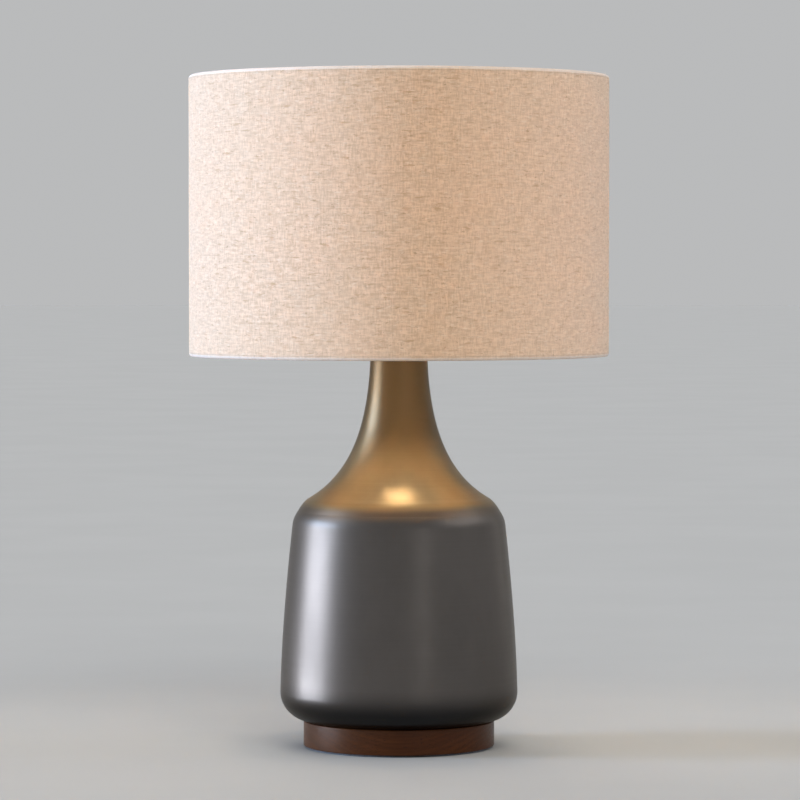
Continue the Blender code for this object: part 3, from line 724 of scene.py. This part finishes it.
stud = softened(
    [(0, HARP_SEAT + 12.5), (2.5, HARP_SEAT + 12.5), (3.0, HARP_SEAT + 12.0), (3.0, HARP_SEAT),
     (8.0, HARP_SEAT), (8.0, HARP_SEAT - 1.8), (4.2, HARP_SEAT - 1.8), (3.4, HARP_SEAT - 2.2),
     (0, HARP_SEAT - 2.2)],
    0.4, closed=False,
)
STUD_PITCH, STUD_CUT = 0.94, 0.16


def stud_thread(angle, radius, height):
    """A rolled thread along the stud's shank."""
    if radius > 3.05 or not HARP_SEAT + 1.5 < height < HARP_SEAT + 12.2:
        return radius
    phase = 2 * math.pi * height / STUD_PITCH - angle
    return radius - STUD_CUT * (0.5 + 0.5 * math.cos(phase))


threaded = []
for (r0, z0), (r1, z1) in zip(stud, stud[1:]):
    parts = max(1, int(abs(z1 - z0) / 0.2))
    threaded += [(r0 + (r1 - r0) * i / parts, z0 + (z1 - z0) * i / parts) for i in range(parts)]
threaded.append(stud[-1])
turned("stud", threaded, brass, "lamp", "brass_hardware", ["harp_stud"], steps=40, closed=False,
       shape=stud_thread)

sleeve_low = low("harp_sleeve_left")
sleeve = softened(
    [(3.5, 0), (4.7, 0), (4.7, 8.6), (5.1, 9.4), (5.1, 10.6), (4.7, 11.4), (4.7, 12), (3.5, 12)],
    0.35,
)
for side, sign in (("left", -1), ("right", 1)):
    turned(f"sleeve_{side}_rolled", [(r, z + sleeve_low) for r, z in sleeve], brass,
           f"sleeve_{side}", "brass_hardware", [f"harp_sleeve_{side}"], steps=48,
           place=Matrix.Translation((sign * (LEG - 0.8) * MM, 0, 0)))

# Finial -------------------------------------------------------------------------------------------

finial_low = low("finial")
ball_centre, insert_top = HARP_SEAT + 12.6, HARP_SEAT + 13.8
BALL_RADIUS = 8.4
ball = arc((0, ball_centre), BALL_RADIUS, 90, -128, 28)
finial_outline = softened(
    [*ball, (6.2, finial_low + 2.6), (6.2, finial_low + 2.0), (7.2, finial_low + 1.3),
     (7.2, finial_low), (5.3, finial_low), (5.3, insert_top), (0, insert_top)],
    0.35, closed=False, least=20,
)
turned("finial_ball", finial_outline, brass, "finial", "brass_hardware", ["finial"], steps=72,
       closed=False)

# Socket -------------------------------------------------------------------------------------------

socket_cap = softened(
    [(17.6, 409.0), (17.6, 400.0), (16.0, 396.0), (12.0, 393.2), (8.0, 392.0), (8.0, 385.5),
     (PIPE_HOLE, 385.5), (PIPE_HOLE, 393.8), (7.5, 393.8), (11.4, 394.4), (15.2, 396.8),
     (16.8, 400.4), (16.8, 409.0)], 1.4, least=8,
)
turned("socket_cap_spun", socket_cap, brass, "lamp", "brass_hardware", ["socket_cap"], steps=96)
socket_shell = softened(
    [(16.3, 452.0), (16.3, 448.5), (17.0, 447.3), (17.0, 445.7), (16.3, 444.5),
     (16.3, 437.0), (16.6, 436.4), (16.3, 435.8), (16.3, 434.4), (16.6, 433.8), (16.3, 433.2),
     (16.3, 400.8), (15.7, 400.8), (15.7, 444.7), (16.3, 445.9), (16.3, 447.1), (15.7, 448.3),
     (15.7, 452.0)], 0.5, least=8,
)
shell = turned("socket_shell_rolled", socket_shell, brass, "lamp", "brass_hardware",
               ["socket_shell"], steps=96)
SWITCH_HEIGHT = (low("switch_shaft") + high("switch_shaft")) / 2
SHAFT_HOLE = 3.6
drill(shell, SHAFT_HOLE, 10, -16, SWITCH_HEIGHT)

FLUTES, FLUTE_DEPTH = 18, 0.28


def fluted(angle, radius, height):
    """Grooves along the knob's grip, and none on its ends."""
    if radius < 5.0 or not 24 < height < 36:
        return radius
    return radius - FLUTE_DEPTH * (0.5 + 0.5 * math.cos(FLUTES * angle))


knob_side = [(7.0 + 0.6 * min(1, (35.6 - z) / 10.6), z) for z in np.linspace(35.6, 25.0, 9)]
knob = softened(
    [(0, 36.7), (3.2, 36.7), (4.0, 37.0), (5.6, 37.0), *knob_side, (6.4, 23.0), (2.8, 23.0),
     (2.8, 33.3), (0, 33.3)], 0.7, closed=False, least=20,
)
turned("knob_fluted", knob, LOOKS["black_plastic"], "switch", "black_plastic", ["switch_knob"],
       steps=216, closed=False, shape=fluted, place=facing(-1, 0, SWITCH_HEIGHT))

# Bulb ---------------------------------------------------------------------------------------------

PITCH, CREST, ROOT = 3.63, 13.0, 12.35
CAP_WALL, GLASS_WALL = 0.4, 0.9
BULB_RADIUS, BULB_MIDDLE, BULB_TOP = 30, 504, 536
cap_low, cap_top = low("bulb_cap"), high("bulb_cap")
thread_low = cap_low + 1.3
thread_top = thread_low + 4 * PITCH


def bulb_thread(angle, radius, height):
    """A rolled screw thread that fades out at both ends."""
    if radius < 11.5:
        return radius
    fade = min(1, max(0, (height - thread_low) / 1.5)) * min(1, max(0, (thread_top - height) / 1.5))
    wave = 0.5 + 0.5 * math.cos(2 * math.pi * height / PITCH - angle)
    return radius + (ROOT + (CREST - ROOT) * wave - radius) * fade


cap_skin = [
    (11.0, cap_low),
    *[(ROOT, z) for z in np.linspace(thread_low, thread_top, 60)],
    (12.9, cap_top - 2.4), (13.1, cap_top - 1.0), (13.1, cap_top),
]
cap_inside = [(r - CAP_WALL, z) for r, z in reversed(cap_skin)]
turned("bulb_cap_threaded", cap_skin + cap_inside, LOOKS["aluminium"], "bulb", "aluminium",
       ["bulb_cap"], steps=96, shape=bulb_thread)

envelope = [
    (11.5, cap_top - 6.0),
    *bezier((11.9, cap_top + 1.5), (14.5, 466), (BULB_RADIUS, 478), (BULB_RADIUS, BULB_MIDDLE), 30),
    *bezier((BULB_RADIUS, BULB_MIDDLE), (BULB_RADIUS, 523), (15, BULB_TOP), (0, BULB_TOP), 26)[1:],
]
envelope_inside = [
    (max(r - GLASS_WALL, 0.0), z - (GLASS_WALL if r < 15 and z > 520 else 0.3))
    for r, z in envelope[:-1]
]
glass = envelope[::-1] + envelope_inside + [(0, BULB_TOP - GLASS_WALL)]
turned("bulb_envelope", glass, LOOKS["frosted_glass"], "bulb", "frosted_glass", ["bulb_glass"],
       steps=96, closed=False)

# Shade --------------------------------------------------------------------------------------------

CLOTH = 0.5
ROLL = 2.95  # the fabric's middle round a wire ring
WALL_RADIUS, LIP_RADIUS = 190.05, 184.30
EDGE_INSET, LIP = 3.25, 2.5
low_edge, top_edge = SHADE_BOTTOM + EDGE_INSET, SHADE_TOP - EDGE_INSET


def bead(height):
    """How far the cloth stands out over the wire at a rim, less the slight dip beside it."""
    near = min(height - SHADE_BOTTOM, SHADE_TOP - height)
    crest, dip = (math.exp(-(((near - at) / width) ** 2)) for at, width in ((2.6, 1.7), (6.2, 1.6)))
    return 0.32 * crest - 0.10 * dip


def cloth_profile(out=0.0):
    """The fabric's middle line from the bottom lip, over the outside, to the top lip."""
    middle = (WALL_RADIUS + LIP_RADIUS) / 2
    reach = (WALL_RADIUS - LIP_RADIUS) / 2 + out

    def rolled(edge, start, end):
        return [
            (middle + reach * math.cos(a), edge + (ROLL + out) * math.sin(a))
            for a in np.linspace(start, end, 17)
        ]

    wall = np.linspace(low_edge, top_edge, 92)[1:-1]
    return [
        *[(LIP_RADIUS - out, low_edge + 0.6 + LIP * share) for share in (0.5, 0.0)],
        *rolled(low_edge, -math.pi, 0),
        *[(WALL_RADIUS + out + bead(z), z) for z in wall],
        *rolled(top_edge, 0, math.pi),
        (LIP_RADIUS - out, top_edge - 0.35),
    ]


def uneven(angle, height):
    """The drum is not quite even: long slow waves of a tenth of a millimetre."""
    wave = math.sin(3 * angle + 0.02 * height) + math.sin(7 * angle + 1.7 - 0.031 * height)
    ripple = math.sin(23 * angle + 0.05 * height) * math.sin(0.11 * height + 5 * angle)
    return 0.05 * wave + 0.035 * ripple


def cloth_mesh(profile, angles, closed):
    """Points and faces of a profile carried round the drum. Angle 0 is at the front, -Y."""
    points, faces, columns, rows = [], [], len(angles), len(profile)
    for a in angles:
        for r, z in profile:
            reach = r + uneven(a, z)
            points.append((reach * math.sin(a), -reach * math.cos(a), z))
    for i in range(columns if closed else columns - 1):
        n = (i + 1) % columns
        for j in range(rows - 1):
            faces.append((i * rows + j, n * rows + j, n * rows + j + 1, i * rows + j + 1))
    return points, faces


COLUMNS = 480
drum_angles = [2 * math.pi * (i + 0.5) / COLUMNS - math.pi for i in range(COLUMNS)]
fabric = piece("shade_linen", *cloth_mesh(cloth_profile(), drum_angles, True), LOOKS["linen"],
               "shade", "linen", ["shade_fabric"], CLOTH_CREASE)
thicken(fabric, CLOTH)

# The cloth's outer end laps over its inner one at the back, with its raw edge folded under
OVERLAP, OVERLAP_PAST, OVERLAP_LIFT, OVERLAP_CLOTH = 11.0, 0.4, 0.52, 0.45
lap_angles = np.linspace(math.pi - OVERLAP / WALL_RADIUS, math.pi + OVERLAP_PAST / WALL_RADIUS, 9)
overlap = piece("shade_overlap", *cloth_mesh(cloth_profile(OVERLAP_LIFT), list(lap_angles), False),
                LOOKS["linen"], "shade", "linen", (), CLOTH_CREASE)
thicken(overlap, OVERLAP_CLOTH)

# Stray fibres that stand off the cloth, thickest along the rims
FIBRES, FIBRE_RADIUS = 260, 0.045
AT_TOP, AT_A_RIM = 0.34, 0.62  # shares of the fibres


def stray_fibre():
    """Points and faces of a fine curved thread that starts somewhere on the cloth."""
    angle = random.uniform(-math.pi, math.pi)
    where = random.random()
    if where < AT_TOP:
        start_z, lift = SHADE_TOP - random.uniform(0, 1.0), 1
    elif where < AT_A_RIM:
        start_z, lift = SHADE_BOTTOM + random.uniform(0, 1.0), -1
    else:
        start_z, lift = random.uniform(SHADE_BOTTOM + 4, SHADE_TOP - 4), 0
    start_r = WALL_RADIUS + (0.1 if lift == 0 else -random.uniform(0.6, 4.0))
    length = random.uniform(0.9, 2.6)
    drift = random.uniform(-1.0, 1.0)
    rise = lift * random.uniform(0.3, 0.8) if lift else random.uniform(-0.5, 0.5)
    outward = random.uniform(0.15, 0.5)
    line = []
    for t in (0.0, 0.25, 0.5, 0.75, 1.0):
        along = angle + drift * length * t / WALL_RADIUS
        reach = start_r + outward * length * math.sin(t * 2.2)
        height = start_z + rise * length * t * (1 - 0.3 * t)
        line.append((reach * math.sin(along), -reach * math.cos(along), height))
    return tube_mesh(line, lambda share: FIBRE_RADIUS * (1 - 0.5 * share), 4)


random.seed(11)
fibres = merged(*[stray_fibre() for _ in range(FIBRES)])
fuzz = piece("shade_fibres", *fibres, THREAD_LINEN, "shade", "linen", (), FIBRE_CREASE)

liner_low, liner_top = low("shade_liner"), high("shade_liner")
LINER_INSIDE, LINER_OUTSIDE = 188.8, 189.6
turned("shade_liner_drum",
       softened([(LINER_INSIDE, liner_low), (LINER_OUTSIDE, liner_low),
                 (LINER_OUTSIDE, liner_top), (LINER_INSIDE, liner_top)], 0.25, 2),
       LOOKS["shade_liner"], "shade", "shade_liner", ["shade_liner"], steps=240)

enamel = LOOKS["white_enamel"]
RING_RADIUS, WIRE, RING_STEPS = 187.0, 1.5, 180
ring_angles = [2 * math.pi * i / RING_STEPS for i in range(RING_STEPS)]
for rim in ("top", "bottom"):
    node = f"shade_ring_{rim}"
    height = (low(node) + high(node)) / 2
    loop = [(RING_RADIUS * math.cos(a), RING_RADIUS * math.sin(a), height) for a in ring_angles]
    tube(f"rim_wire_{rim}", loop, WIRE, enamel, "shade", "white_enamel", [node], sides=14,
         closed=True)

hub_low, hub_top = low("spider_hub"), high("spider_hub")
HUB_HOLE, HUB_RADIUS = 3.5, 14.0
hub = softened(
    [(HUB_HOLE, hub_top), (HUB_RADIUS, hub_top), (HUB_RADIUS, hub_low), (HUB_HOLE, hub_low)], 0.45
)
turned("spider_hub_disc", hub, enamel, "shade", "white_enamel", ["spider_hub"], steps=72)

hub_middle = (hub_low + hub_top) / 2
weld_height = high("spider_arm_1") - WIRE
arm_line = softened(
    [(HUB_RADIUS + 0.2, hub_middle), (26, hub_middle), (34, hub_middle + 0.6),
     (160, weld_height - 0.6), (168, weld_height), (RING_RADIUS + 0.4, weld_height)],
    60, 6, closed=False, least=1,
)


def weld_mesh(heading, reach, height, size):
    """Points and faces of a bead of weld, `reach` mm out along an arm."""
    line = [
        ((reach + along) * math.cos(heading), (reach + along) * math.sin(heading), height)
        for along in (-1.6, -0.5, 0.5, 1.6)
    ]
    return tube_mesh(line, lambda share: size * (0.55 + 0.45 * math.sin(math.pi * share)), 14)


for number in range(3):
    heading = math.radians(90 + 120 * number)
    bar = [(r * math.cos(heading), r * math.sin(heading), z) for r, z in arm_line]
    arm = merged(
        tube_mesh(bar, WIRE, 16),
        weld_mesh(heading, HUB_RADIUS, hub_middle, 2.0),
        weld_mesh(heading, RING_RADIUS - 0.2, weld_height + 1.1, 1.9),
    )
    piece(f"spider_bar_{number + 1}", *arm, enamel, "shade", "white_enamel",
          [f"spider_arm_{number + 1}"], BAR_CREASE)

# Floor, light and camera --------------------------------------------------------------------------

FLOOR_RADIUS = 40.0  # metres, as is everything from here on
floor_look = plain_look("studio_floor", (0.470, 0.456, 0.427), (0.484, 0.470, 0.440), 0.90, 0.04,
                        3.0, 0.00002, Specular_IOR_Level=0.0)
floor_mesh = bpy.data.meshes.new("floor")
disc = bmesh.new()
bmesh.ops.create_circle(disc, cap_ends=True, segments=128, radius=FLOOR_RADIUS)
disc.to_mesh(floor_mesh)
disc.free()
floor_mesh.materials.append(floor_look)
floor = bpy.data.objects.new("floor", floor_mesh)
scene.collection.objects.link(floor)

SKY_COLOUR, SKY_STRENGTH = (0.98, 0.99, 1.0, 1.0), 0.50
world = bpy.data.worlds.new("studio")
scene.world = world
world.use_nodes = True
background = world.node_tree.nodes["Background"]
background.inputs["Color"].default_value = SKY_COLOUR
background.inputs["Strength"].default_value = SKY_STRENGTH

CENTRE = Vector((0, 0, (CAD_BOX[0][2] + CAD_BOX[1][2]) / 2))
WINDOW_WHITE, ROOM_WHITE = (0.80, 0.87, 1.0), (1.0, 0.97, 0.94)


def add_light(name, kind, azimuth, elevation, energy, colour, target=(0, 0, 0), distance=0.0):
    """Adds a light aimed at the target.

    Azimuth 0 is in front of the lamp, at -Y, and 90 at its right.
    """
    a, e = math.radians(azimuth), math.radians(elevation)
    direction = Vector((math.sin(a) * math.cos(e), -math.cos(a) * math.cos(e), math.sin(e)))
    light = bpy.data.lights.new(name, kind)
    light.energy, light.color = energy, colour
    obj = bpy.data.objects.new(name, light)
    scene.collection.objects.link(obj)
    obj.location = Vector(target) + direction * distance
    obj.rotation_euler = (-direction).to_track_quat("-Z", "Y").to_euler()
    return obj


def softbox(name, azimuth, elevation, distance, size, watts, colour, target=CENTRE):
    """A rectangular light, `size` wide and high, that only metal and gloss show."""
    obj = add_light(name, "AREA", azimuth, elevation, watts, colour, target, distance)
    obj.data.shape = "RECTANGLE"
    obj.data.size, obj.data.size_y = size
    obj.visible_diffuse = False


def sun(name, azimuth, elevation, strength, spread, colour):
    """Even light from one side, as wide as `spread` degrees, that only matt surfaces show."""
    obj = add_light(name, "SUN", azimuth, elevation, strength, colour)
    obj.data.angle = math.radians(spread)
    obj.visible_glossy = False


softbox("window", -92, 0, 1.9, (1.04, 0.64), 21.0, WINDOW_WHITE, (0, 0, 0.32))
softbox("window_top", -92, 0, 1.9, (1.04, 0.36), 18.0, (0.54, 0.72, 1.0), (0, 0, 0.82))
softbox("window_haze", -92, 34, 1.9, (1.05, 0.90), 7.2, (0.90, 0.93, 1.0))
softbox("haze_right", 86, 34, 1.9, (1.7, 1.0), 4.6, (1.0, 0.97, 0.95))
softbox("window_foot", -92, 0, 0.50, (0.27, 0.07), 0.76, WINDOW_WHITE, (0, -0.05, 0.012))
softbox("fill_right", 24, 3, 3.4, (0.5, 1.6), 3.0, ROOM_WHITE)
softbox("rim_right", 128, 6, 2.6, (0.6, 2.0), 1.1, ROOM_WHITE)
sun("daylight_left", -87, 2, 10.9, 20, (0.42, 0.62, 1.0))
sun("daylight_right", 88, 2, 2.3, 20, (0.47, 0.64, 1.0))
sun("sky_front", 14, 42, 1.2, 42, (1.0, 0.985, 0.96))
sun("sky_back", 190, 48, 0.7, 42, (1.0, 0.99, 0.97))

# The camera stands in front of the lamp, a little over half its height, and looks slightly down
CAMERA_PLACE, CAMERA_TILT = (0.001, -3.62, 0.4377), 88.069
FOCAL_LENGTH, SENSOR_WIDTH = 179.5, 36.0
camera_data = bpy.data.cameras.new("camera")
camera_data.lens, camera_data.sensor_width = FOCAL_LENGTH, SENSOR_WIDTH
camera_data.clip_end = 200.0
camera = bpy.data.objects.new("camera", camera_data)
scene.collection.objects.link(camera)
camera.location = CAMERA_PLACE
camera.rotation_euler = (math.radians(CAMERA_TILT), 0.0, 0.0)
scene.camera = camera
scene.view_settings.view_transform = "Standard"
